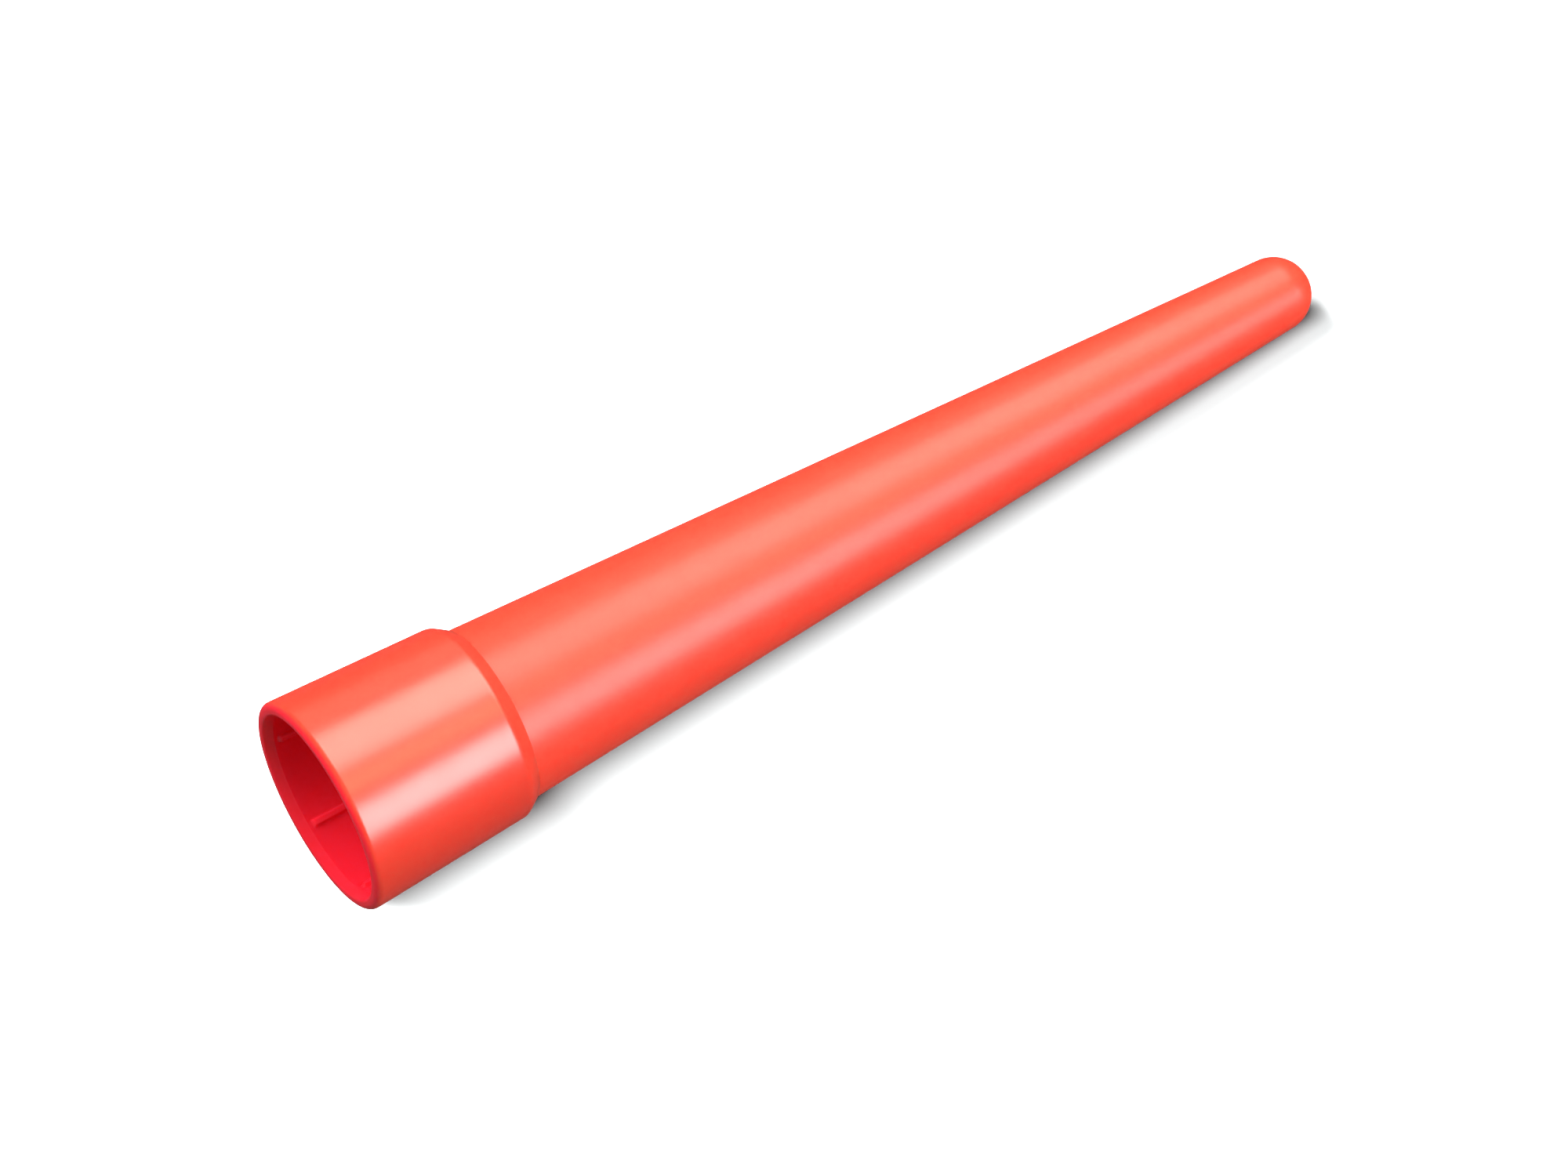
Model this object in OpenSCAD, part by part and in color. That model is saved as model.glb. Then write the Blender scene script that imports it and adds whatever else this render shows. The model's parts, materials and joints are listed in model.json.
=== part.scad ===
// Slip-on traffic wand: a hollow, closed cone that glows when a hand torch is pushed into its collar.
//
// Two moulded pieces share one long axis.
//   diffuser_cone  the long tapered shell, closed by a round tip, with a flange round its open end
//   socket_collar  the short sleeve that grips the torch head, with crush ribs in its bore
// The cone goes in through the collar's mouth, its taper comes out through the collar's nose, and its
// flange seats on the nose's inner face. A small bead in the bore snaps in behind the flange.
//
// Each piece is drawn about its own axis: z is 0 in the mouth's plane and grows towards the tip.
// place() then lays the wand down as it rests on a level floor, on the collar's shoulder and the tip.
// The origin is on that floor, under the middle of the wand. +X runs towards the tip and +Z is up.

/* [Overall] */
// Length from the mouth of the collar to the end of the tip
overall_len = 232; // [180:1:300]
// Diameter of the bore that takes the torch head
bore_d = 37; // [30:0.5:58]
// Diameter of the cone's round tip
tip_d = 15.4; // [10:0.2:24]
// Thickness of the cone's wall, and of its tip
cone_wall = 1.6; // [1.2:0.1:2.4]

/* [Collar] */
// Length of the collar, from its mouth to its nose
collar_len = 37.5; // [30:0.5:50]
// Thickness of the collar's wall at the mouth
collar_wall = 3.1; // [2.6:0.1:4]
// Draft of the collar's outside, in degrees a side
collar_taper = 2.8; // [0:0.1:3.5]
// Radius on the outer edge of the mouth
rim_fillet = 1.3; // [0.5:0.1:1.6]
// Slope of the shoulder that runs down to the cone, in degrees from the axis
shoulder_slope = 33.4; // [25:0.2:45]
// Radius where the collar's side turns over into the shoulder
shoulder_fillet = 2.8; // [1:0.1:4]
// Height of the step from the cone's side up to the shoulder's edge
nose_lip = 0.3; // [0.1:0.05:0.6]

/* [Bore] */
// Depth of the lead-in bevel at the mouth
lead_depth = 2; // [1:0.1:3]
// How far the lead-in bevel opens the bore, on the radius
lead_open = 0.8; // [0.3:0.1:1]
// Length of the plain round land behind the lead-in
entry_land = 0.6; // [0.4:0.1:2]
// Draft of the bore behind the land, in degrees a side
bore_draft = 0.3; // [0:0.1:0.6]

/* [Crush ribs] */
// Number of ribs round the bore
rib_count = 6; // [3:1:12]
// Width of a rib
rib_w = 1.4; // [0.8:0.1:2.5]
// Height of a rib's crest inside the entry land
rib_h = 0.7; // [0.3:0.1:1.2]
// Length of the ramp at each end of a rib
rib_ramp = 0.7; // [0.3:0.1:2]
// Gap between the ribs' inner ends and the snap bead
rib_end_gap = 1.2; // [0.5:0.1:4]
// Turn of the first rib from straight down, in degrees
rib_turn = 21; // [0:1:59]

/* [Joint between collar and cone] */
// Distance from the collar's nose back to the face that the flange seats on
nose_depth = 3.1; // [2.6:0.1:5]
// Thickness of the cone's flange
flange_t = 1.8; // [1.2:0.1:3]
// How far the flange reaches out past the cone's side, and so how far the nose closes the bore
seat_step = 0.8; // [0.5:0.1:1.5]
// Bevel on the flange's outer and inner edges at its mouth side
flange_bevel = 0.4; // [0.2:0.1:0.8]
// Clearance round the flange and round the cone in the nose
fit_gap = 0.05; // [0.02:0.01:0.15]
// Height of the snap bead
bead_h = 0.35; // [0.2:0.05:0.5]
// Width of the snap bead at its crest
bead_w = 0.5; // [0.3:0.1:1]
// Length of the ramp on each side of the snap bead
bead_ramp = 0.7; // [0.4:0.1:1.2]

/* [Hidden] */
$fn = 96;
ARC_STEPS = 10;   // straight steps in a small fillet
TIP_STEPS = 18;   // straight steps in the tip's quarter circle
RIB_ROOT = 0.5;   // how deep a rib's root sinks into the collar's wall

// Stations along the axis.
seat_z = collar_len - nose_depth;
stop_z = seat_z - flange_t;
land_end_z = lead_depth + entry_land;
bead_end_z = stop_z - fit_gap;
bead_start_z = bead_end_z - bead_w - 2 * bead_ramp;
rib_end_z = bead_start_z - rib_end_gap;
tip_r = tip_d / 2;
tip_z = overall_len - tip_r;

// Radii. The bore is drafted from the end of the land to the seat.
land_r = bore_d / 2;
rib_crest_r = land_r - rib_h;
collar_mouth_r = land_r + collar_wall;
function bore_r(z) = land_r - (z - land_end_z) * tan(bore_draft);
function collar_r(z) = collar_mouth_r - z * tan(collar_taper);

// The cone's side is the straight line from its radius at the nose that just touches the tip's circle.
cone_nose_r = land_r - seat_step;
cone_slope = atan2(cone_nose_r, tip_z - collar_len)
    - asin(tip_r / norm([cone_nose_r, tip_z - collar_len]));
function cone_r(z) = cone_nose_r - (z - collar_len) * tan(cone_slope);
function cone_inner_r(z) = cone_r(z) - cone_wall / cos(cone_slope);
flange_r = bore_r(seat_z) - fit_gap;

// The shoulder starts where its slope meets the collar's side, and a fillet rounds that corner.
nose_edge_r = cone_nose_r + fit_gap + nose_lip;
shoulder_z = (nose_edge_r + collar_len * tan(shoulder_slope) - collar_mouth_r)
    / (tan(shoulder_slope) - tan(collar_taper));
shoulder_mid = (shoulder_slope + collar_taper) / 2;
shoulder_back = shoulder_fillet / cos((shoulder_slope - collar_taper) / 2);
shoulder_centre = [
    collar_r(shoulder_z) - shoulder_back * cos(shoulder_mid),
    shoulder_z - shoulder_back * sin(shoulder_mid)
];
rim_centre = [collar_r(rim_fillet) - rim_fillet / cos(collar_taper), rim_fillet];

// Resting pose. The floor touches the shoulder's fillet and the tip, so the axis dips towards the tip.
rest_run = tip_z - shoulder_centre[1];
rest_tilt = acos((tip_r - shoulder_fillet) / norm([shoulder_centre[0], rest_run]))
    - atan2(rest_run, shoulder_centre[0]);
axis_height = shoulder_centre[0] * cos(rest_tilt) + shoulder_centre[1] * sin(rest_tilt) + shoulder_fillet;
mouth_reach = rim_centre[0] * sin(rest_tilt) + rim_fillet - rim_centre[1] * cos(rest_tilt);
tip_reach = tip_z * cos(rest_tilt) + tip_r;
mouth_x = (mouth_reach - tip_reach) / 2;

// Points on an arc, from one angle to another, in [radius, z].
function arc(centre, r, from, to, steps) = [
    for (i = [0:steps])
        let (a = from + (to - from) * i / steps)
        [centre[0] + r * cos(a), centre[1] + r * sin(a)]
];

// Lays a piece that is drawn along z down in its resting pose.
module place() {
    translate([mouth_x, 0, axis_height])
        rotate([0, 90 + rest_tilt, 0])
            children();
}

// Section of the collar's wall, from the mouth round the outside to the nose and back along the bore.
module collar_section() {
    polygon(concat(
        [[land_r + lead_open, 0]],
        arc(rim_centre, rim_fillet, -90, collar_taper, ARC_STEPS),
        arc(shoulder_centre, shoulder_fillet, collar_taper, shoulder_slope, ARC_STEPS),
        [
            [nose_edge_r, collar_len],
            [cone_nose_r + fit_gap, collar_len],
            [cone_r(seat_z) + fit_gap, seat_z],
            [bore_r(seat_z), seat_z],
            [bore_r(bead_end_z), bead_end_z],
            [bore_r(bead_end_z) - bead_h, bead_end_z - bead_ramp],
            [bore_r(bead_start_z) - bead_h, bead_start_z + bead_ramp],
            [bore_r(bead_start_z), bead_start_z],
            [land_r, land_end_z],
            [land_r, lead_depth]
        ]
    ));
}

// Outline of one rib, cut along the axis, with its root inside the wall.
module rib_section() {
    polygon([
        [bore_r(land_end_z) + RIB_ROOT, land_end_z],
        [bore_r(land_end_z), land_end_z],
        [rib_crest_r, land_end_z + rib_ramp],
        [rib_crest_r, rib_end_z - rib_ramp],
        [bore_r(rib_end_z), rib_end_z],
        [bore_r(rib_end_z) + RIB_ROOT, rib_end_z]
    ]);
}

module crush_ribs() {
    for (i = [0:rib_count - 1])
        rotate([0, 0, rib_turn + i * 360 / rib_count])
            rotate([90, 0, 0])
                linear_extrude(height = rib_w, center = true)
                    rib_section();
}

// Short sleeve at the open end: it grips the torch and holds the cone.
module socket_collar() {
    color("#f4452f")
        place()
            union() {
                rotate_extrude() collar_section();
                crush_ribs();
            }
}

// Section of the cone's wall, from the tip down the outside to the flange and back up the inside.
module cone_section() {
    polygon(concat(
        arc([0, tip_z], tip_r, 90, cone_slope, TIP_STEPS),
        [
            [cone_r(seat_z), seat_z],
            [flange_r, seat_z],
            [flange_r, stop_z + flange_bevel],
            [flange_r - flange_bevel, stop_z],
            [cone_inner_r(stop_z) + flange_bevel, stop_z],
            [cone_inner_r(stop_z + flange_bevel), stop_z + flange_bevel]
        ],
        arc([0, tip_z], tip_r - cone_wall, cone_slope, 90, TIP_STEPS)
    ));
}

// Long glowing shell, closed at the tip and flanged at its open end.
module diffuser_cone() {
    color("#fb5a40")
        place()
            rotate_extrude() cone_section();
}

diffuser_cone();
socket_collar();
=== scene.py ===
# %% [markdown]
# # A slip-on traffic wand
#
# A traffic wand is a hollow cone of red translucent plastic. A hand torch goes into its open end and
# the whole cone glows. This lesson builds the look of one in Blender, round a frame that fixes where
# everything is. The wand has two moulded pieces, a long satin cone and a short glossy collar. Both are
# turned shapes, so most of the modelling is drawing half a section and turning it round an axis.

# %% Load the frame
import json
import math

import bmesh
import bpy
import numpy as np
from mathutils import Matrix, Vector


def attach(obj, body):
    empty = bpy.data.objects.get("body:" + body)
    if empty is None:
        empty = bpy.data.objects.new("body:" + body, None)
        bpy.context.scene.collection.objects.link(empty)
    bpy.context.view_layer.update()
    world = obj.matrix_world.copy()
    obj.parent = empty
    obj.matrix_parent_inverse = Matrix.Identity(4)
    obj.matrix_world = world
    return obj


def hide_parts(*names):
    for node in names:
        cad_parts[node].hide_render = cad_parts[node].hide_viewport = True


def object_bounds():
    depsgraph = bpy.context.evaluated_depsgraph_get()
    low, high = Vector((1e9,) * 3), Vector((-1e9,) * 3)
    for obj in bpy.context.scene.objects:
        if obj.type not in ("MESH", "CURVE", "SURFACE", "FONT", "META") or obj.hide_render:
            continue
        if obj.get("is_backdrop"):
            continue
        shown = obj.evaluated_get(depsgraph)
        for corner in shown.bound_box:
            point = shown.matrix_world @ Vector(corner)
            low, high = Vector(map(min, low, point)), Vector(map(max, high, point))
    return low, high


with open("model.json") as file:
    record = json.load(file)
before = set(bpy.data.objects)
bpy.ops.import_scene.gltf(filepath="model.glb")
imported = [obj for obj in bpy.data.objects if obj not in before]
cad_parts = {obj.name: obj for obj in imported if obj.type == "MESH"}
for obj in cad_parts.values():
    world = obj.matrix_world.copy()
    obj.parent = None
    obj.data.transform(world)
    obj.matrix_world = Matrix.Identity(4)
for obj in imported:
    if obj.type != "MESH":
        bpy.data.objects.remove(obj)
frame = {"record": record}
cad_low, cad_high = (Vector(corner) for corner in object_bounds())
MM = 0.001

# %% [markdown]
# ## Where the wand lies
#
# The wand lies on its side, and its axis dips a few degrees because the tip is thinner than the collar.
# The frame's record knows the socket that the torch goes into: a point on its axis, and the way out of
# the mouth. Working in the wand's own directions keeps every later step simple, so this cell makes one
# matrix that lays down anything that is drawn upright. In those drawings z is 0 in the mouth's plane and
# grows towards the tip, and x points down at the floor. The matrix is put into each mesh's own points, so
# every object sits at the frame's origin with no turn of its own.

# %% The wand's own axes
LEAD_DEPTH = 2.0 * MM
LAND_LENGTH = 0.6 * MM

socket = next(m for m in frame["record"]["mounts"] if m["name"] == "torch_socket")
out_of_mouth = Vector(socket["axis"]).normalized()
along = -out_of_mouth
mouth = Vector(socket["pos_m"]) + out_of_mouth * (LEAD_DEPTH + LAND_LENGTH / 2)
side = Vector((0, 1, 0))
down = side.cross(along)
LAY_DOWN = Matrix((
    (down.x, side.x, along.x, mouth.x),
    (down.y, side.y, along.y, mouth.y),
    (down.z, side.z, along.z, mouth.z),
    (0, 0, 0, 1),
))
print("axis dips by", round(math.degrees(math.asin(-along.z)), 2), "degrees")

# %% [markdown]
# ## Camera
#
# A long lens from about a metre away keeps the taper close to its true shape. The camera looks down at
# 58 degrees from the mouth's side, so the open mouth shows and the tip points away. It is placed by the
# direction it looks in and its distance, which are easier to reason about than a position.

# %% Place the camera
CAMERA_TURN = 55.62
CAMERA_PITCH = 57.99
CAMERA_DISTANCE = 0.9023
CAMERA_LENS_MM = 108
AIM_FROM_MIDDLE = Vector((-0.01355, -0.00441, -0.00730))


def direction(turn, pitch):
    """The unit vector that looks along +X turned by turn degrees, and down by pitch degrees."""
    turn, pitch = math.radians(turn), math.radians(pitch)
    return Vector((math.cos(pitch) * math.cos(turn), math.cos(pitch) * math.sin(turn), -math.sin(pitch)))


look = direction(CAMERA_TURN, CAMERA_PITCH)
middle = (cad_low + cad_high) / 2
camera_data = bpy.data.cameras.new("camera")
camera_data.lens = CAMERA_LENS_MM
camera_data.clip_start = 0.01
camera = bpy.data.objects.new("camera", camera_data)
camera.location = middle + AIM_FROM_MIDDLE - look * CAMERA_DISTANCE
camera.rotation_mode = "QUATERNION"
camera.rotation_quaternion = look.to_track_quat("-Z", "Y")
bpy.context.collection.objects.link(camera)
bpy.context.scene.camera = camera
print("camera stands at", [round(v, 3) for v in camera.location])

# %% [markdown]
# ## Drawing a section
#
# Moulded plastic has no true corners: each edge has a small radius, and that radius catches the light.
# A section is written as its corners, each with the radius that rounds it, and one function puts the arcs
# in. It also adds a point just beyond each arc. Those points make narrow bands of faces beside the arc, so
# the smooth shading of the arc doesn't spill on to the flat next to it.

# %% Round the corners of a section
ARC_STEPS = 8
HOLD = 0.12 * MM


def arc(centre, radius, start, end, steps):
    """Points on an arc, with angles in degrees, as (radius, z) pairs."""
    angles = np.radians(np.linspace(start, end, steps + 1))
    return [np.array([centre[0] + radius * math.cos(a), centre[1] + radius * math.sin(a)]) for a in angles]


def unit(vector):
    return vector / np.linalg.norm(vector)


def rounded(corners, closed):
    """Turns (r, z, radius) corners into the points of an outline, with an arc at each rounded corner."""
    points = []
    for i, (r, z, radius) in enumerate(corners):
        here = np.array([r, z])
        at_end = not closed and i in (0, len(corners) - 1)
        if radius == 0 or at_end:
            points.append(here)
            continue
        before = unit(np.array(corners[i - 1][:2]) - here)
        after = unit(np.array(corners[(i + 1) % len(corners)][:2]) - here)
        half = math.acos(float(np.clip(before @ after, -1, 1))) / 2
        run = radius / math.tan(half)
        centre = here + unit(before + after) * radius / math.sin(half)
        first, last = here + before * run - centre, here + after * run - centre
        sweep = math.atan2(first[0] * last[1] - first[1] * last[0], float(first @ last))
        points.append(here + before * (run + HOLD))
        for step in range(ARC_STEPS + 1):
            turn = sweep * step / ARC_STEPS
            cos, sin = math.cos(turn), math.sin(turn)
            turned_x, turned_y = first[0] * cos - first[1] * sin, first[0] * sin + first[1] * cos
            points.append(centre + np.array([turned_x, turned_y]))
        points.append(here + after * (run + HOLD))
    return points


# %% [markdown]
# ## Turning a section into a solid
#
# A lathe does this with a spinning bar, and a mould for a round part is cut the same way. In Blender it
# could be a Screw modifier, but here the columns of the mesh are placed one by one, for two reasons: they can
# crowd together where a rib needs them, and a rule can push single points in or out before the faces are
# made.

# %% Turn a section
ON_AXIS = 1e-9
SHARP_ANGLE = math.radians(50)


def turned(name, outline, angles, closed, shape=None):
    """Makes a mesh object by turning an outline. Points on the axis become one vertex each."""
    mesh = bpy.data.meshes.new(name)
    work = bmesh.new()
    columns = []
    poles = {}
    for angle in angles:
        column = []
        for i, (r, z) in enumerate(outline):
            if r < ON_AXIS:
                if i not in poles:
                    poles[i] = work.verts.new((0, 0, z))
                column.append(poles[i])
                continue
            reach = shape(r, z, angle) if shape else r
            column.append(work.verts.new((reach * math.cos(angle), reach * math.sin(angle), z)))
        columns.append(column)
    last = len(outline) if closed else len(outline) - 1
    for c, column in enumerate(columns):
        following = columns[(c + 1) % len(columns)]
        for i in range(last):
            j = (i + 1) % len(outline)
            corners = list(dict.fromkeys([column[i], following[i], following[j], column[j]]))
            if len(corners) > 2:
                work.faces.new(corners)
    bmesh.ops.recalc_face_normals(work, faces=work.faces)
    for face in work.faces:
        face.smooth = True
    work.transform(LAY_DOWN)
    work.to_mesh(mesh)
    work.free()
    mesh.set_sharp_from_angle(angle=SHARP_ANGLE)
    piece = bpy.data.objects.new(name, mesh)
    bpy.context.collection.objects.link(piece)
    print(name, "has", len(mesh.polygons), "faces")
    return piece


# %% [markdown]
# ## The sizes that both pieces share
#
# The cone comes out through the collar's nose, so both are drawn from the same few sizes, in millimetres
# turned to metres. The cone's side is the straight line from its radius at the nose that just touches the
# round of the tip.

# %% Shared sizes
TIP_RADIUS = 7.7 * MM
OVERALL_LENGTH = 232 * MM
COLLAR_LENGTH = 37.5 * MM
BORE_RADIUS = 18.5 * MM
SEAT_STEP = 0.8 * MM
NOSE_DEPTH = 3.1 * MM
FLANGE_THICKNESS = 1.8 * MM
FIT_GAP = 0.05 * MM
BORE_DRAFT = math.radians(0.3)

tip_z = OVERALL_LENGTH - TIP_RADIUS
seat_z = COLLAR_LENGTH - NOSE_DEPTH
stop_z = seat_z - FLANGE_THICKNESS
land_end_z = LEAD_DEPTH + LAND_LENGTH
nose_radius = BORE_RADIUS - SEAT_STEP
taper = math.atan2(nose_radius, tip_z - COLLAR_LENGTH) - math.asin(
    TIP_RADIUS / math.hypot(nose_radius, tip_z - COLLAR_LENGTH)
)


def bore_at(z):
    return BORE_RADIUS - (z - land_end_z) * math.tan(BORE_DRAFT)


def cone_at(z):
    return nose_radius - (z - COLLAR_LENGTH) * math.tan(taper)


print("the cone tapers by", round(math.degrees(taper), 2), "degrees a side")

# %% [markdown]
# ## The cone
#
# The cone is one injection moulding, 1.6 mm thick, closed by a round tip. Its open end has a flange that
# sits inside the collar. A mould for a shape like this is filled through a single point in the middle of
# the tip, and a shallow dimple is left there. The outline runs from that dimple down the outside, round the
# flange and back up the inside to the tip.

# %% Turn the cone
WALL = 1.6 * MM
FLANGE_BEVEL = 0.4 * MM
GATE_RADIUS = 1.1 * MM
GATE_DEPTH = 0.18 * MM
GATE_FLAT_SHARE, GATE_BEND_SHARE, GATE_BEND_RISE = 0.55, 0.85, 0.3
GATE_LIP_DEGREES = 2
TIP_STEPS = 28
SIDE_RINGS = 14
SIDE_START = 12 * MM
ROOT_LENGTH = 5 * MM
ROOT_STEP = 1 * MM
FLANGE_ROUND = 0.1 * MM
ROUND_COLUMNS = 256

wall_across = WALL / math.cos(taper)
flange_radius = bore_at(seat_z) - FIT_GAP
gate_angle = math.degrees(math.acos(GATE_RADIUS / TIP_RADIUS))
gate_z = tip_z + TIP_RADIUS * math.sin(math.radians(gate_angle)) - GATE_DEPTH
taper_degrees = math.degrees(taper)

outside_tip = arc((0, tip_z), TIP_RADIUS, gate_angle - GATE_LIP_DEGREES, taper_degrees, TIP_STEPS)
inside_tip = arc((0, tip_z), TIP_RADIUS - WALL, taper_degrees, 90, TIP_STEPS)
root_z = seat_z + ROOT_LENGTH
side_rings = [(cone_at(z), z) for z in np.linspace(tip_z - SIDE_START, root_z + ROOT_STEP, SIDE_RINGS)]
flange = rounded([
    (cone_at(root_z), root_z, 0),
    (cone_at(seat_z), seat_z, 0),
    (flange_radius, seat_z, FLANGE_ROUND),
    (flange_radius, stop_z + FLANGE_BEVEL, FLANGE_ROUND),
    (flange_radius - FLANGE_BEVEL, stop_z, FLANGE_ROUND),
    (cone_at(stop_z) - wall_across + FLANGE_BEVEL, stop_z, FLANGE_ROUND),
    (cone_at(stop_z + FLANGE_BEVEL) - wall_across, stop_z + FLANGE_BEVEL, FLANGE_ROUND),
    (cone_at(root_z) - wall_across, root_z, 0),
], closed=False)
gate = [
    (0, gate_z),
    (GATE_RADIUS * GATE_FLAT_SHARE, gate_z),
    (GATE_RADIUS * GATE_BEND_SHARE, gate_z + GATE_DEPTH * GATE_BEND_RISE),
]
cone_outline = gate + outside_tip + side_rings + flange + inside_tip
cone_outline[-1] = (0, tip_z + TIP_RADIUS - WALL)

round_angles = np.linspace(0, 2 * math.pi, ROUND_COLUMNS, endpoint=False)
cone = turned("cone_shell", cone_outline, round_angles, closed=False)
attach(cone, "root")
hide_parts("diffuser_cone")

# %% [markdown]
# ## The collar
#
# The collar is a second moulding. Its mouth has a rounded outer edge and a bevel that leads the torch in,
# and its far end slopes down to meet the cone. Where that slope stops there is a small step, and its shadow
# draws the crisp ring line between the pieces. Inside, past the bevel and a narrow plain land, six crush
# ribs run along the bore and squeeze the torch's head.

# %% Collar section
COLLAR_WALL = 3.1 * MM
COLLAR_DRAFT = math.radians(2.8)
RIM_RADIUS = 1.3 * MM
LEAD_OPEN = 0.8 * MM
SHOULDER_SLOPE = math.radians(33.4)
SHOULDER_RADIUS = 2.8 * MM
NOSE_LIP = 0.3 * MM
BEAD_HEIGHT = 0.35 * MM
BEAD_WIDTH = 0.5 * MM
BEAD_RAMP = 0.7 * MM
SMALL_ROUND = 0.12 * MM
LEAD_ROUND = 0.45 * MM

collar_mouth = BORE_RADIUS + COLLAR_WALL
nose_edge = nose_radius + FIT_GAP + NOSE_LIP
shoulder_z = (nose_edge + COLLAR_LENGTH * math.tan(SHOULDER_SLOPE) - collar_mouth) / (
    math.tan(SHOULDER_SLOPE) - math.tan(COLLAR_DRAFT)
)
bead_end = stop_z - FIT_GAP
bead_start = bead_end - BEAD_WIDTH - 2 * BEAD_RAMP

# %% [markdown]
# A rib is part of the same moulding as the bore, so it blends into the wall with a small fillet and its
# crest is rounded. Adding bars on top of the bore would leave hard creases. Instead the bore's own points
# are pushed inwards where a rib is, and there are extra columns and rings of points there to carry the
# shape.

# %% Crush ribs
RIB_COUNT = 6
RIB_TURN = math.radians(21)
RIB_WIDTH = 1.4 * MM
RIB_HEIGHT = 0.7 * MM
RIB_RAMP = 0.7 * MM
RIB_END_GAP = 1.2 * MM
RIB_BLEND = 0.5 * MM
RIB_COLUMNS = 18

rib_start, rib_end = land_end_z, bead_start - RIB_END_GAP
rib_crest = BORE_RADIUS - RIB_HEIGHT
rib_angles = [RIB_TURN + i * 2 * math.pi / RIB_COUNT for i in range(RIB_COUNT)]


def smooth_step(value):
    value = min(max(value, 0), 1)
    return value * value * (3 - 2 * value)


def bore_with_ribs(r, z, angle):
    """The radius of a bore point, pushed in where a rib stands. Points elsewhere stay where they are."""
    if not rib_start - HOLD < z < rib_end + HOLD or r > BORE_RADIUS + HOLD:
        return r
    nearest = min(abs(math.remainder(angle - rib, 2 * math.pi)) for rib in rib_angles) * r
    across = smooth_step((RIB_WIDTH / 2 + RIB_BLEND / 2 - nearest) / RIB_BLEND)
    lengthwise = smooth_step(min(z - rib_start, rib_end - z) / RIB_RAMP)
    return r + (rib_crest - r) * across * lengthwise


CLEAR_OF_RIB = 1.15
rib_reach = (RIB_WIDTH / 2 + RIB_BLEND) / BORE_RADIUS
rib_columns = [
    rib + offset for rib in rib_angles for offset in np.linspace(-rib_reach, rib_reach, RIB_COLUMNS)
]
plain_columns = [
    a for a in round_angles
    if min(abs(math.remainder(a - rib, 2 * math.pi)) for rib in rib_angles) > rib_reach * CLEAR_OF_RIB
]
collar_angles = sorted({round(float(a) % (2 * math.pi), 9) for a in rib_columns + plain_columns})

# %% [markdown]
# The collar's outline runs out over the rim, along the outside to the nose, and back through the seat and the
# bead to the bore. The bore's rings crowd together where the ribs begin and end, to carry their ramps.

# %% Turn the collar
RAMP_STEPS = 6

ramp_rings = [i * RIB_RAMP / RAMP_STEPS for i in range(RAMP_STEPS + 1)]
bore_rings = [rib_start + step for step in ramp_rings] + [rib_end - step for step in reversed(ramp_rings)]
bore_run = [(bore_at(z), z) for z in bore_rings]
outer_half = rounded([
    (BORE_RADIUS, LEAD_DEPTH, LEAD_ROUND),
    (BORE_RADIUS + LEAD_OPEN, 0, LEAD_ROUND),
    (collar_mouth, 0, RIM_RADIUS),
    (collar_mouth - shoulder_z * math.tan(COLLAR_DRAFT), shoulder_z, SHOULDER_RADIUS),
    (nose_edge, COLLAR_LENGTH, SMALL_ROUND),
    (nose_radius + FIT_GAP, COLLAR_LENGTH, SMALL_ROUND / 2),
    (cone_at(seat_z) + FIT_GAP, seat_z, SMALL_ROUND / 2),
    (bore_at(seat_z), seat_z, SMALL_ROUND),
    (bore_at(bead_end), bead_end, SMALL_ROUND),
    (bore_at(bead_end) - BEAD_HEIGHT, bead_end - BEAD_RAMP, SMALL_ROUND),
    (bore_at(bead_start) - BEAD_HEIGHT, bead_start + BEAD_RAMP, SMALL_ROUND),
    (bore_at(bead_start), bead_start, SMALL_ROUND),
], closed=True)
collar_outline = outer_half + list(reversed(bore_run))
collar = turned("collar_sleeve", collar_outline, collar_angles, closed=True, shape=bore_with_ribs)
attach(collar, "root")
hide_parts("socket_collar")

# %% [markdown]
# ## Floor
#
# In a studio this would be a sheet of card with a slow bend up behind. A plain flat floor is enough here,
# because the camera looks down at it. A bright floor throws its light back on to the wand's lower side and
# takes the deep red out of it, so the floor is hidden from the rays that leave the wand. The camera still
# sees the floor, and the wand's shadow still falls on it.

# %% Make the floor
FLOOR_HALF = 4.0

floor_mesh = bpy.data.meshes.new("floor")
floor_mesh.from_pydata(
    [(x * FLOOR_HALF, y * FLOOR_HALF, cad_low.z) for x, y in ((-1, -1), (1, -1), (1, 1), (-1, 1))],
    [], [(0, 1, 2, 3)],
)
floor = bpy.data.objects.new("floor", floor_mesh)
bpy.context.collection.objects.link(floor)
floor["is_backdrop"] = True
floor.visible_diffuse = False
floor.visible_glossy = False
print("floor lies at height", round(cad_low.z, 5))

# %% [markdown]
# ## Colour and nodes
#
# Colours are written the way a paint chart or a web page gives them, as sRGB hex. Blender's shaders work
# in linear light, so one function converts them. A second small function adds a node with its settings and
# its links, and every material below is made with it.

# %% Helpers for materials
def linear(hex_colour):
    """An sRGB hex colour as linear RGBA."""
    channels = [int(hex_colour[i:i + 2], 16) / 255 for i in (1, 3, 5)]
    return tuple(c / 12.92 if c <= 0.04045 else ((c + 0.055) / 1.055) ** 2.4 for c in channels) + (1,)


def node(tree, kind, inputs=None, **settings):
    """Adds a node. inputs maps a socket's name or number to a value, or to another node's output."""
    made = tree.nodes.new(kind)
    for name, value in settings.items():
        setattr(made, name, value)
    for name, value in (inputs or {}).items():
        if isinstance(value, bpy.types.NodeSocket):
            tree.links.new(value, made.inputs[name])
        else:
            made.inputs[name].default_value = value
    return made


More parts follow.
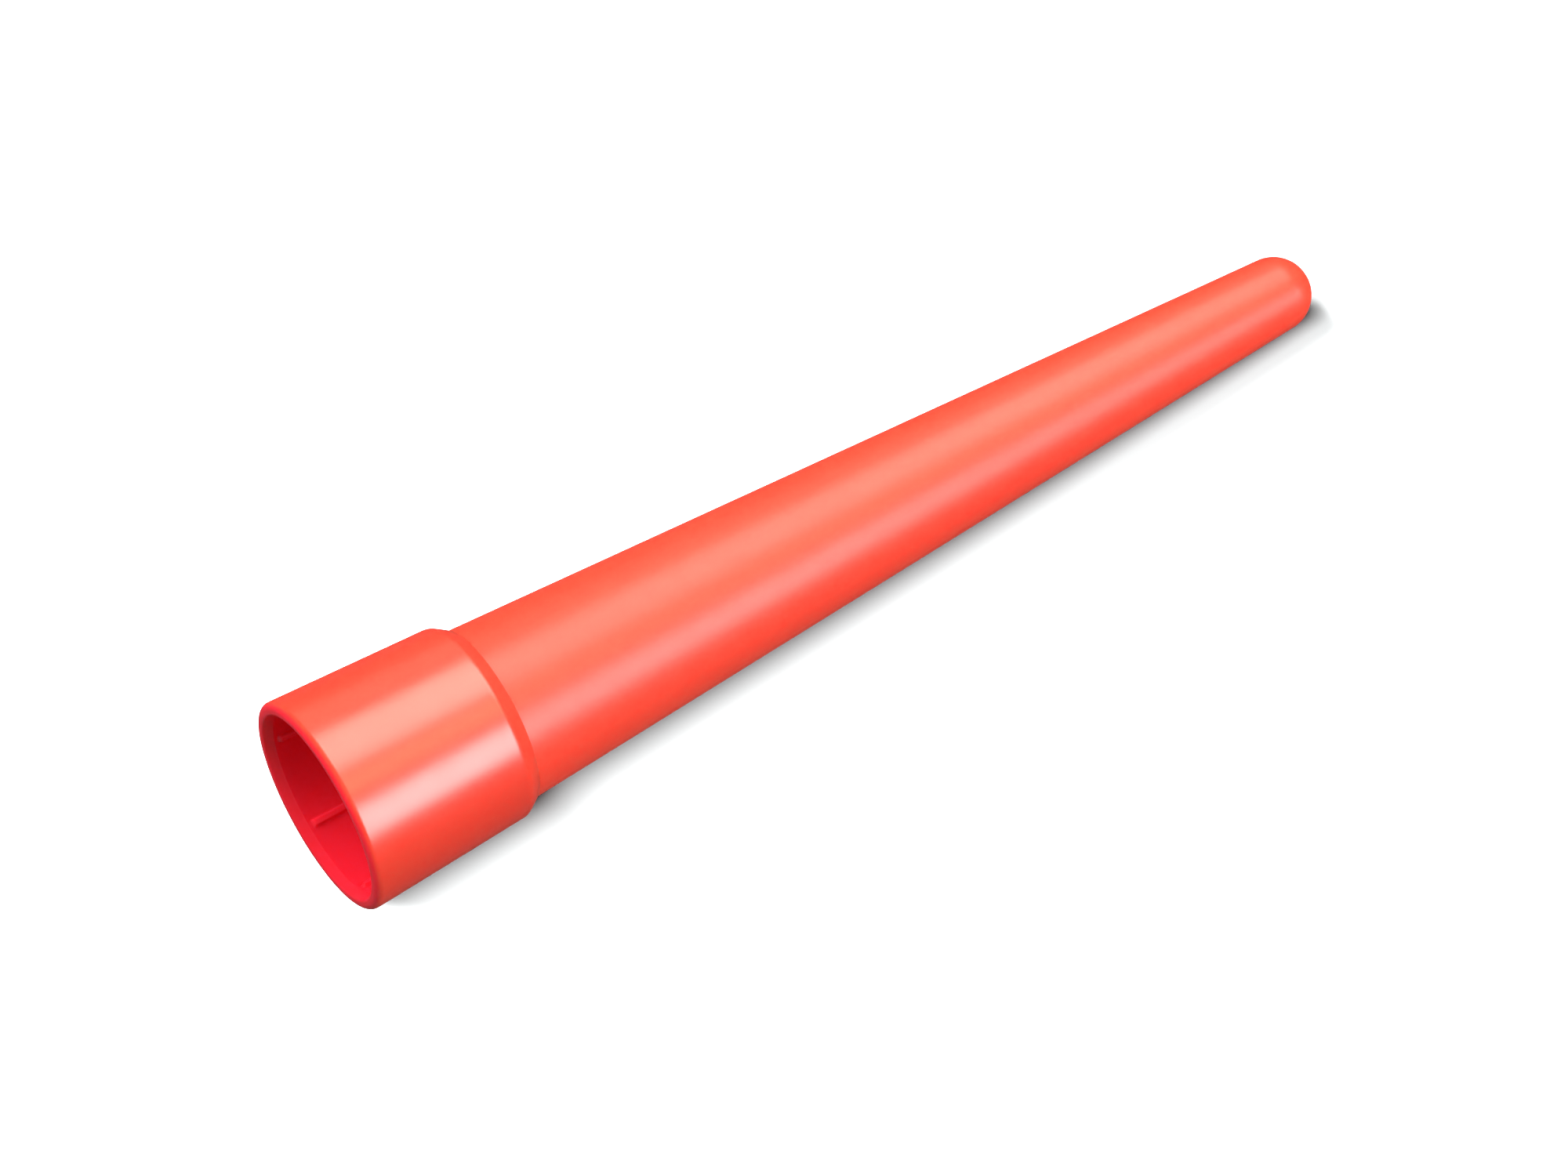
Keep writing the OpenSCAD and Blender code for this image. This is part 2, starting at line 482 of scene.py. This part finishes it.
def new_material(name):
    """An empty node material, and the tree that its nodes go in."""
    material = bpy.data.materials.new(name)
    material.use_nodes = True
    material.node_tree.nodes.clear()
    return material, material.node_tree


def dress(piece, material):
    piece.data.materials.clear()
    piece.data.materials.append(material)
    print(piece.name, "is dressed in", material.name)


# %% [markdown]
# ## Painted card for the floor
#
# The card is mid-grey, and strong lamps of its own make it look white. A white card under weak lamps would
# look the same by itself, but beside the wand its shadow turns pink, because the wand throws red light on
# it. Grey card takes in most of that red, and the strong lamps drown the rest. Matt card hardly shines and
# has a very faint tooth.

# %% Floor material
CARD_GREY = "#6E7070"
CARD_ROUGHNESS = 0.95
CARD_GLOSS = 0.1
CARD_TOOTH_MM = 0.6
CARD_TOOTH_HEIGHT = 0.02 * MM
CARD_TOOTH_STRENGTH = 0.05

card, tree = new_material("matt_grey_card")
place = node(tree, "ShaderNodeTexCoord").outputs["Object"]
tooth = node(tree, "ShaderNodeTexNoise", {"Vector": place, "Scale": 1 / (CARD_TOOTH_MM * MM), "Detail": 2})
bump = node(tree, "ShaderNodeBump", {
    "Height": tooth.outputs["Fac"], "Strength": CARD_TOOTH_STRENGTH, "Distance": CARD_TOOTH_HEIGHT,
})
surface = node(tree, "ShaderNodeBsdfPrincipled", {
    "Base Color": linear(CARD_GREY), "Roughness": CARD_ROUGHNESS, "Specular IOR Level": CARD_GLOSS,
    "Normal": bump.outputs["Normal"],
})
node(tree, "ShaderNodeOutputMaterial", {"Surface": surface.outputs["BSDF"]})
dress(floor, card)

# %% [markdown]
# ## Where a point is on the wand
#
# The streaks, the scratches and the painted shade inside all follow the wand. Its meshes hold the frame's
# coordinates, so a Mapping node undoes the laying down. After it z runs along the wand from the mouth, and
# x and y lie across it, the same as in the sections above.

# %% Wand coordinates in a material
def wand_place(tree):
    """Where a point is in the wand's own upright coordinates, so that patterns can run along the wand."""
    lying = node(tree, "ShaderNodeTexCoord").outputs["Object"]
    upright = node(tree, "ShaderNodeMapping", {
        "Vector": lying, "Location": LAY_DOWN.translation, "Rotation": LAY_DOWN.to_euler(),
    }, vector_type="TEXTURE")
    return upright.outputs["Vector"]


# %% [markdown]
# ## Painted shade inside
#
# Light reaches the bore through the dyed wall, and it crosses the dye again each time it bounces inside.
# What comes out is a deeper, slightly bluer red than on the outside. Tracing all of those bounces is slow,
# so a mask finds the collar's bore and the flat of the mouth's rim, and the deeper red is painted on there:
# painted shade that stands in for that light.

# %% Mask for the painted shade in the bore and on the rim
# Painted shade: a deeper, bluer red that stands in for light bounced through the dye inside the wand.
INSIDE_PAINTED_SHADE = "#F7253C"
MASK_INNER, MASK_OUTER = 0.1 * MM, 0.6 * MM
MASK_FADE = 1.0 * MM
RIM_FADE_START, RIM_FADE_END = 0.2 * MM, 0.8 * MM


def bore_and_rim_painted_shade(tree, place):
    """Where the painted shade goes: 1 in the collar's bore and on the flat of the mouth's rim, 0 elsewhere,
    with soft edges.
    """
    parts = node(tree, "ShaderNodeSeparateXYZ", {"Vector": place}).outputs
    across = node(tree, "ShaderNodeCombineXYZ", {"X": parts["X"], "Y": parts["Y"]})
    radius = node(tree, "ShaderNodeVectorMath", {0: across.outputs["Vector"]}, operation="LENGTH")
    near_bore = node(tree, "ShaderNodeMapRange", {
        "Value": radius.outputs["Value"],
        "From Min": BORE_RADIUS + LEAD_OPEN + MASK_OUTER, "From Max": BORE_RADIUS + LEAD_OPEN + MASK_INNER,
    })
    in_collar = node(tree, "ShaderNodeMapRange", {
        "Value": parts["Z"], "From Min": seat_z, "From Max": seat_z - MASK_FADE,
    })
    on_rim = node(tree, "ShaderNodeMapRange", {
        "Value": parts["Z"], "From Min": RIM_FADE_END, "From Max": RIM_FADE_START,
    })
    in_bore = node(tree, "ShaderNodeMath", {
        0: near_bore.outputs["Result"], 1: in_collar.outputs["Result"],
    }, operation="MULTIPLY")
    either = node(tree, "ShaderNodeMath", {
        0: in_bore.outputs["Value"], 1: on_rim.outputs["Result"],
    }, operation="MAXIMUM")
    return either.outputs["Value"]


# %% [markdown]
# ## Rub marks
#
# A wand is pulled out of a belt or a door pocket many times a day, so its scratches run along it. They are
# long and fine, and they come in patches. A real scratch is a tenth of a millimetre wide or less, which is
# too fine to show at this distance, so they are drawn coarser. They change only the roughness, by a little.

# %% Scratches in patches
SCRATCH_MM = 0.5
SCRATCH_STRETCH = 0.02
SCRATCH_LOW, SCRATCH_HIGH = 0.62, 0.75
PATCH_MM = 22
PATCH_LOW, PATCH_HIGH = 0.52, 0.72


def rub_marks(tree, place):
    """Fine scratches along the wand, only where a slow patchy mask lets them show."""
    drawn_out = node(tree, "ShaderNodeMapping", {"Vector": place, "Scale": (1, 1, SCRATCH_STRETCH)})
    lines = node(tree, "ShaderNodeTexNoise", {
        "Vector": drawn_out.outputs["Vector"], "Scale": 1 / (SCRATCH_MM * MM), "Detail": 2,
    })
    scratches = node(tree, "ShaderNodeMapRange", {
        "Value": lines.outputs["Fac"], "From Min": SCRATCH_LOW, "From Max": SCRATCH_HIGH,
    })
    patchy = node(tree, "ShaderNodeTexNoise", {"Vector": place, "Scale": 1 / (PATCH_MM * MM), "Detail": 2})
    patches = node(tree, "ShaderNodeMapRange", {
        "Value": patchy.outputs["Fac"], "From Min": PATCH_LOW, "From Max": PATCH_HIGH,
    })
    marks = node(tree, "ShaderNodeMath", {
        0: scratches.outputs["Result"], 1: patches.outputs["Result"],
    }, operation="MULTIPLY")
    return marks.outputs["Value"]


# %% [markdown]
# ## Translucent moulded plastic
#
# Red light travels about three times as far through red plastic as green or blue, so shaded sides stay warm
# and saturated. Subsurface scattering does that. On top of it go the dye's faint streaks, the mould's grain,
# and the slow waves that are left where plastic shrank as it cooled. The two pieces differ only in the
# numbers, so one function makes both materials. Gloss is the shader's Specular IOR Level: 0.5 is the plain
# reflection that the index of refraction gives, and 1.0 doubles it.

# %% One recipe for both pieces
SCATTER = (1.6 * MM, 0.5 * MM, 0.4 * MM)
STREAK_MM = 9
FLOW_STRETCH = 0.12
DRIFT_MM = 6
ROUGHNESS_DRIFT = 0.04
RUBBED_EXTRA = 0.12
WAVE_MM = 14


def moulded_plastic(name, colour, streak_colour, ior, gloss, roughness,
                    grain_mm, grain_height_mm, wave_height_mm):
    """A dyed translucent plastic: streaks, rub marks, moulded grain, slow sink waves, painted shade in the
    bore.
    """
    material, tree = new_material(name)
    place = wand_place(tree)

    # Dye streaks run the way the plastic flowed, along the wand, so the noise is drawn out along z.
    flow = node(tree, "ShaderNodeMapping", {"Vector": place, "Scale": (1, 1, FLOW_STRETCH)})
    streaks = node(tree, "ShaderNodeTexNoise", {
        "Vector": flow.outputs["Vector"], "Scale": 1 / (STREAK_MM * MM), "Detail": 3,
    })
    dye = node(tree, "ShaderNodeMix", {
        "Factor": streaks.outputs["Fac"], "A": linear(colour), "B": linear(streak_colour),
    }, data_type="RGBA")
    # The bore and the rim's flat get the deeper red as painted shade, standing in for light bounced through
    # the dye.
    shade = node(tree, "ShaderNodeMix", {
        "Factor": bore_and_rim_painted_shade(tree, place), "A": dye.outputs["Result"], "B": linear(INSIDE_PAINTED_SHADE),
    }, data_type="RGBA")

    # Roughness drifts a little from place to place, and is higher in the rub marks.
    patchy = node(tree, "ShaderNodeTexNoise", {"Vector": place, "Scale": 1 / (DRIFT_MM * MM), "Detail": 3})
    drift = node(tree, "ShaderNodeMapRange", {
        "Value": patchy.outputs["Fac"],
        "To Min": roughness - ROUGHNESS_DRIFT, "To Max": roughness + ROUGHNESS_DRIFT,
    })
    rougher = node(tree, "ShaderNodeMath", {
        0: rub_marks(tree, place), 1: RUBBED_EXTRA, 2: drift.outputs["Result"],
    }, operation="MULTIPLY_ADD")

    # The waves tilt the surface first, and the grain is laid over them.
    sinks = node(tree, "ShaderNodeTexNoise", {"Vector": place, "Scale": 1 / (WAVE_MM * MM), "Detail": 1})
    waves = node(tree, "ShaderNodeBump", {
        "Height": sinks.outputs["Fac"], "Distance": wave_height_mm * MM, "Strength": 1,
    })
    pits = node(tree, "ShaderNodeTexNoise", {"Vector": place, "Scale": 1 / (grain_mm * MM), "Detail": 2})
    grain = node(tree, "ShaderNodeBump", {
        "Height": pits.outputs["Fac"], "Distance": grain_height_mm * MM, "Strength": 1,
        "Normal": waves.outputs["Normal"],
    })
    surface = node(tree, "ShaderNodeBsdfPrincipled", {
        "Base Color": shade.outputs["Result"], "Roughness": rougher.outputs["Value"],
        "IOR": ior, "Specular IOR Level": gloss,
        "Subsurface Weight": 1.0, "Subsurface Radius": SCATTER, "Subsurface Scale": 1.0,
        "Normal": grain.outputs["Normal"],
    })
    node(tree, "ShaderNodeOutputMaterial", {"Surface": surface.outputs["BSDF"]})
    return material


# %% [markdown]
# ## The cone's plastic: moulded low-density polyethylene, satin
#
# Signal cones are moulded in a soft, waxy polyethylene with a red-orange dye. The mould's surface is
# spark-eroded to a fine grain, which spreads each reflection into a broad pale band. The real grain is
# about a twentieth of a millimetre across. It is drawn coarser, so that a trace of it shows. Polyethylene's
# index of refraction is about 1.51.

# %% Satin polyethylene
PE_IOR = 1.51
PE_GLOSS = 0.57
PE_ROUGHNESS = 0.40
PE_GRAIN_MM = 0.35
PE_GRAIN_HEIGHT_MM = 0.006
PE_WAVE_HEIGHT_MM = 0.05

polyethylene = moulded_plastic(
    "satin_moulded_polyethylene", "#F94C36", "#F24633", PE_IOR, PE_GLOSS, PE_ROUGHNESS,
    PE_GRAIN_MM, PE_GRAIN_HEIGHT_MM, PE_WAVE_HEIGHT_MM,
)
dress(cone, polyethylene)

# %% [markdown]
# ## The collar's plastic: moulded polypropylene, polished
#
# The collar is a stiffer plastic from a polished mould. It has nearly the same dye, but its reflections
# are tighter and brighter than the cone's. Its grain is half as high, and is also drawn coarser than it is.
# Polypropylene's index of refraction is about 1.49.

# %% Polished polypropylene
PP_IOR = 1.49
PP_GLOSS = 1.0
PP_ROUGHNESS = 0.30
PP_GRAIN_MM = 0.5
PP_GRAIN_HEIGHT_MM = 0.003
PP_WAVE_HEIGHT_MM = 0.04

polypropylene = moulded_plastic(
    "polished_moulded_polypropylene", "#F94B36", "#F24532", PP_IOR, PP_GLOSS, PP_ROUGHNESS,
    PP_GRAIN_MM, PP_GRAIN_HEIGHT_MM, PP_WAVE_HEIGHT_MM,
)
dress(collar, polypropylene)

# %% [markdown]
# ## Light
#
# Smooth plastic shows a lamp as a pale band, and the band lies where the surface mirrors the lamp to the
# camera. So the soft boxes are placed by their reflections. An angle round the wand, counted from the line
# that faces the camera and positive on its lower side, gives a direction of the surface. The camera's look,
# mirrored there, gives the way to the lamp. Sizes and slides are in metres and powers in watts. A slide
# moves a box along the wand, towards the tip if it is positive.

# %% Mirror the camera's look
facing = (-look + along * look.dot(along)).normalized()
sideways = along.cross(facing)
if sideways.z > 0:
    sideways = -sideways


def mirror_direction(round_wand):
    """Where a light stands if its reflection is to run along the wand, this far round from the camera."""
    angle = math.radians(round_wand)
    normal = facing * math.cos(angle) + sideways * math.sin(angle)
    return look - normal * 2 * look.dot(normal)


# %% [markdown]
# The wand and the floor get separate lamps. Lamps strong enough to make the floor white would bleach the
# wand. Studio lamps are kept apart with black cards, and here light linking does it: a lamp lights only the
# pieces in its receiver collection. The wand still stands in the way of the floor's lamps, so its shadow is
# there.

# %% Make an area light
NEUTRAL, WARM, WARMER, AMBER = "#FFFFFF", "#FFFBEA", "#FFF7D9", "#FFF0B8"


def group(name, members):
    made = bpy.data.collections.new(name)
    for member in members:
        made.objects.link(member)
    return made


wand_group = group("lit_as_the_wand", [cone, collar])
cone_group = group("lit_as_the_cone", [cone])
floor_group = group("lit_as_the_floor", [floor])


def area_light(name, receivers, towards, distance, width, length, power, slide=0.0, tint=NEUTRAL):
    """An area light in a direction from the wand's middle, facing it, with its long side along the wand."""
    data = bpy.data.lights.new(name, "AREA")
    data.shape = "RECTANGLE"
    data.size, data.size_y = width, length
    data.energy = power
    data.color = linear(tint)[:3]
    towards = Vector(towards).normalized()
    long_side = (along - towards * along.dot(towards)).normalized()
    turn = Matrix((long_side.cross(towards), long_side, towards)).transposed().to_4x4()
    lamp = bpy.data.objects.new(name, data)
    lamp.matrix_world = Matrix.Translation(middle + towards * distance + long_side * slide) @ turn
    lamp.light_linking.receiver_collection = receivers
    bpy.context.collection.objects.link(lamp)
    print(name, "stands at", [round(v, 2) for v in lamp.location])
    return lamp


# %% [markdown]
# ## Lamps for the wand
#
# The back box makes the broad upper band and the front box the brighter lower one. Two dim boxes fill in
# between the bands and beyond the upper one, and their warm tints keep the plastic from looking pink. The
# tip box stands past the end of the cone and carries the lower band out to it. It lights only the cone,
# so that the sloped end of the collar stays dark and draws the ring line.

# %% Soft boxes on the wand
BOX_DISTANCE = 0.75
BACK_TURN, FRONT_TURN, MIDDLE_TURN, BEYOND_TURN = -22.0, 17.8, -2.0, -46.0
BACK_BOX = {"slide": 0.05, "width": 0.60, "length": 0.68, "power": 6.5, "tint": WARM}
FRONT_BOX = {"slide": -0.11, "width": 0.42, "length": 0.52, "power": 5.4}
MIDDLE_BOX = {"width": 0.24, "length": 0.58, "power": 1.1, "tint": AMBER}
BEYOND_BOX = {"width": 0.36, "length": 0.58, "power": 0.45, "tint": WARMER}
TIP_BOX = {"slide": 0.42, "width": 0.34, "length": 0.22, "power": 1.8}

area_light("back_soft_box", wand_group, mirror_direction(BACK_TURN), BOX_DISTANCE, **BACK_BOX)
area_light("front_soft_box", wand_group, mirror_direction(FRONT_TURN), BOX_DISTANCE, **FRONT_BOX)
area_light("middle_soft_box", wand_group, mirror_direction(MIDDLE_TURN), BOX_DISTANCE, **MIDDLE_BOX)
area_light("beyond_soft_box", wand_group, mirror_direction(BEYOND_TURN), BOX_DISTANCE, **BEYOND_BOX)
area_light("tip_soft_box", cone_group, mirror_direction(FRONT_TURN), BOX_DISTANCE, **TIP_BOX)

# %% [markdown]
# The mouth faces away from all of those boxes, so a wide one stands in front of it and lights the bore. Its
# reflection would lie on the rim as a pale patch, so it is left out of reflections.

# %% Soft box in front of the mouth
MOUTH_BOX = {
    "towards": (-0.60, 0.40, 0.69), "distance": 0.75, "width": 0.70, "length": 0.70, "power": 7.4,
}

mouth_light = area_light("mouth_soft_box", wand_group, **MOUTH_BOX)
mouth_light.visible_glossy = False

# %% [markdown]
# ## Lamps for the floor
#
# A very large box stands low behind the wand, and brings a soft shadow forward along the wand's lower edge.
# A small box on the camera's side of the wand washes out the outer part of that shadow, and leaves it
# dark only against the plastic.

# %% Soft boxes on the floor
FLOOR_WIDE_BOX = {
    "towards": (-0.600, 0.600, 0.529), "distance": 2.03, "width": 2.40, "length": 2.00, "power": 1751.0,
}
FLOOR_NEAR_BOX = {
    "towards": (-0.598, -0.266, 0.756), "distance": 0.60, "width": 0.34, "length": 0.20, "power": 36.7,
}

area_light("floor_wide_box", floor_group, **FLOOR_WIDE_BOX)
area_light("floor_near_box", floor_group, **FLOOR_NEAR_BOX)

# %% [markdown]
# ## Pale surround
#
# A dim white world stands for the studio's pale walls. It keeps the shaded edges from going black. The
# Standard view transform shows colours as they are lit, which suits a clean catalogue picture.

# %% World and view
SURROUND_STRENGTH = 0.09

surround = bpy.data.worlds.new("pale_surround")
surround.use_nodes = True
surround.node_tree.nodes.clear()
glow = node(surround.node_tree, "ShaderNodeBackground", {
    "Color": linear(NEUTRAL), "Strength": SURROUND_STRENGTH,
})
node(surround.node_tree, "ShaderNodeOutputWorld", {"Surface": glow.outputs["Background"]})
bpy.context.scene.world = surround
bpy.context.scene.view_settings.view_transform = "Standard"
